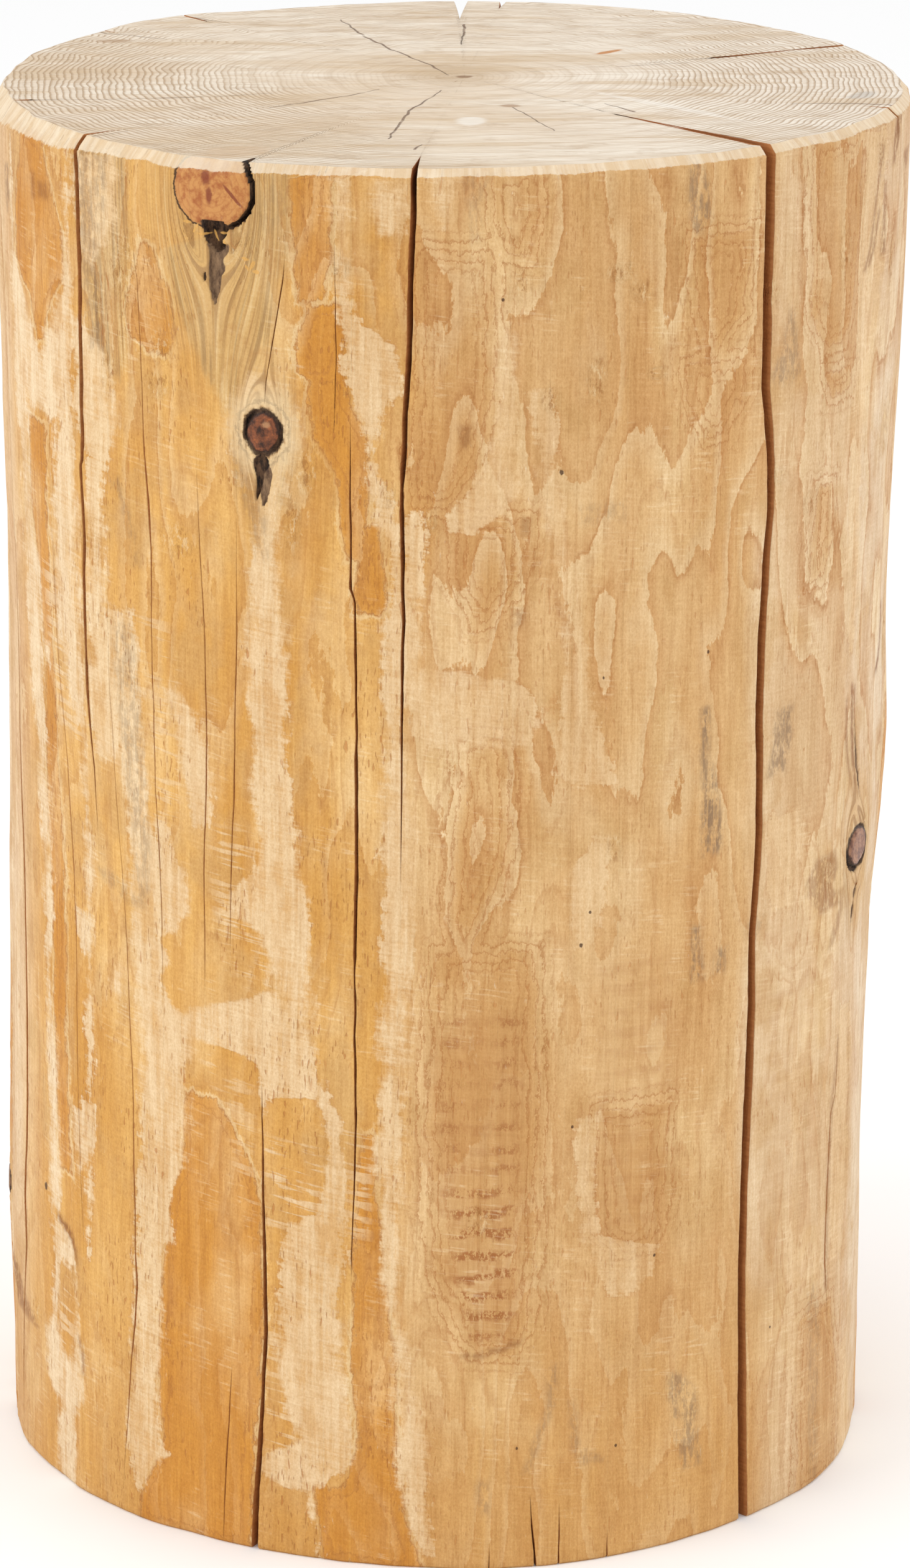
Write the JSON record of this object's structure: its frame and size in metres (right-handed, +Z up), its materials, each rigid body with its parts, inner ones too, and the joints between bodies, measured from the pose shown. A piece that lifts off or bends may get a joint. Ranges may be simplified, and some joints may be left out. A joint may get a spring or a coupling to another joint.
{
  "type": "wood log",
  "caption": "Upright debarked softwood log with flat sawn ends, branch knots and drying checks, for use as a stool, side table or plinth.",
  "frame": {"origin": "on the foot face, at the line through the heart of the log that its radii are measured from", "axes": "+Z up along the trunk from foot to head, -Y towards the front with the two deep checks, +X to the right as seen from the front"},
  "size_m": [0.2942, 0.29, 0.45],
  "materials": {
    "wood": "raw debarked softwood, drawknife-planed side and sawn ends, matt, uncoated"
  },
  "bodies": {
    "root": {"log": "wood"}
  },
  "joints": []
}
